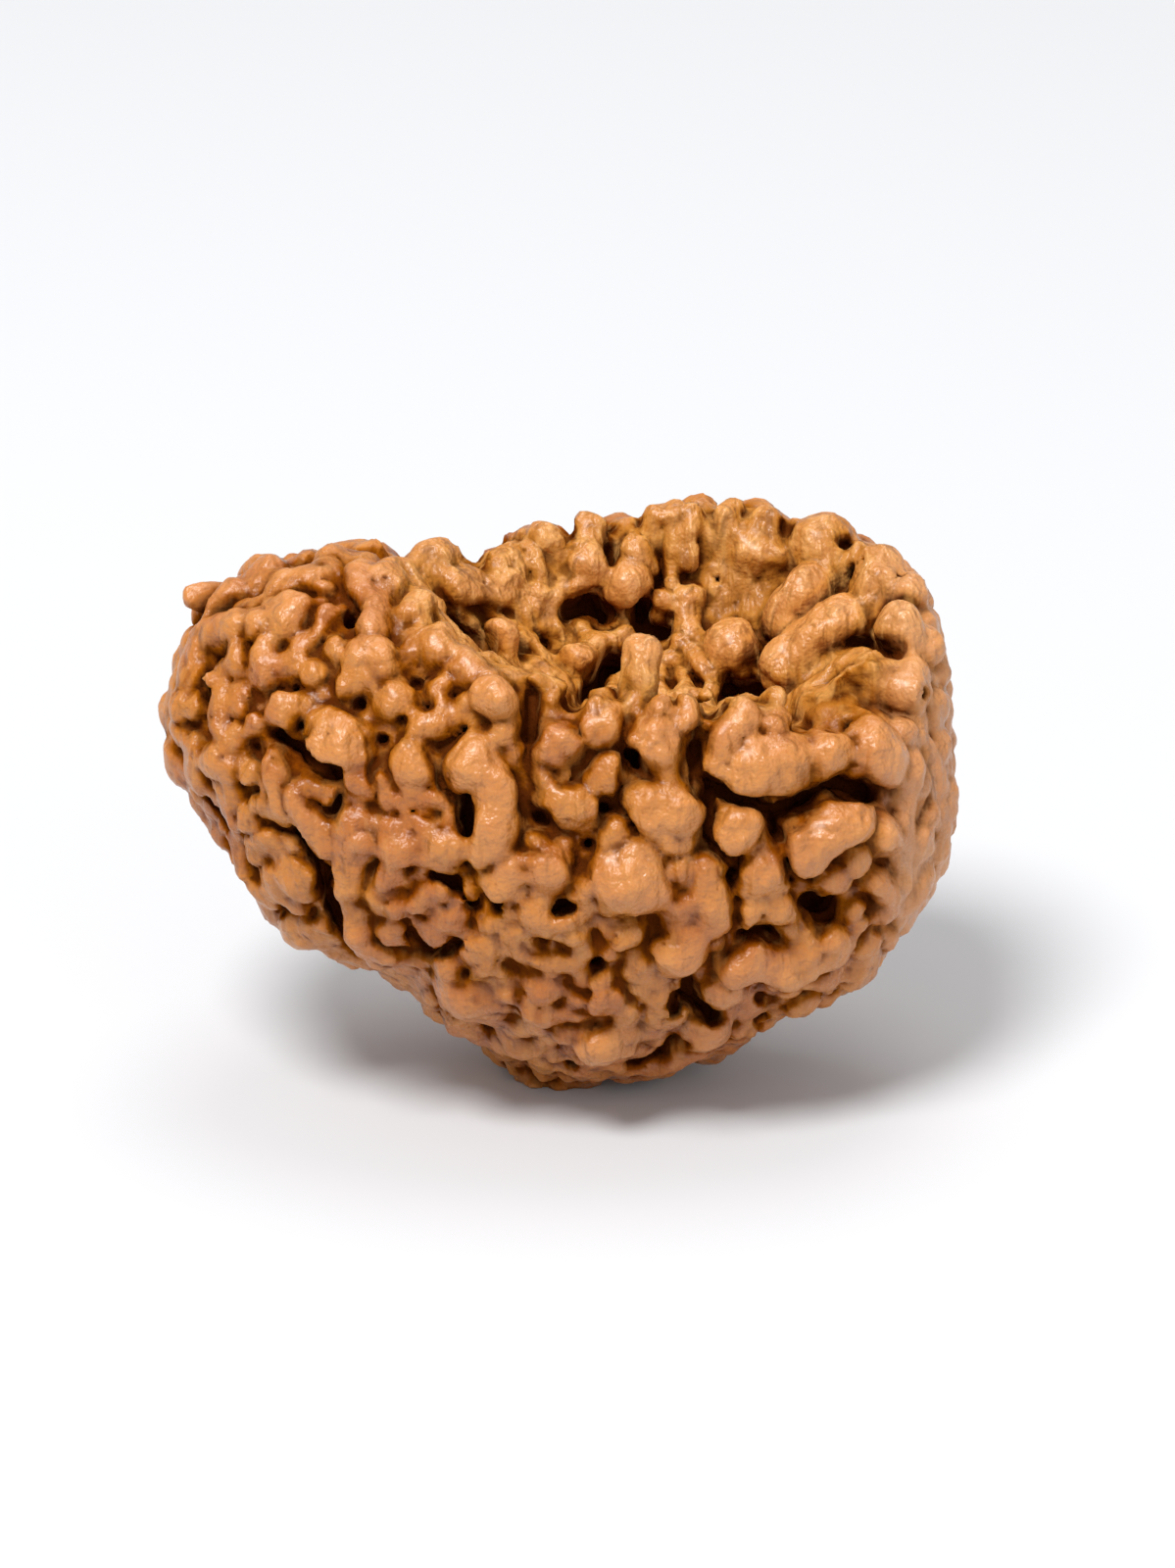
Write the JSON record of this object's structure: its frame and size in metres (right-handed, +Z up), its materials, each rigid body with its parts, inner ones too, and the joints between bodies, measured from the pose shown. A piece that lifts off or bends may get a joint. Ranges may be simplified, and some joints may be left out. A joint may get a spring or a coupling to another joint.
{
  "type": "rudraksha seed",
  "caption": "Half-moon rudraksha seed: a knobbly woody stone with a rounded belly, a fluted hollow along its upper side and a small flat spot to rest on.",
  "frame": {"origin": "middle of the seed's outer box, on the plane that the seed rests on", "axes": "+X along the half-moon from its narrow end to its full end, +Y through its thickness to the back, +Z up to the hollow side"},
  "size_m": [0.024, 0.0142, 0.017],
  "materials": {
    "seed_stone": "waxy woody stone, tan on the knobs, yellow ochre in the hollow and near black in the pits"
  },
  "bodies": {
    "root": {"seed": "seed_stone"}
  },
  "joints": []
}
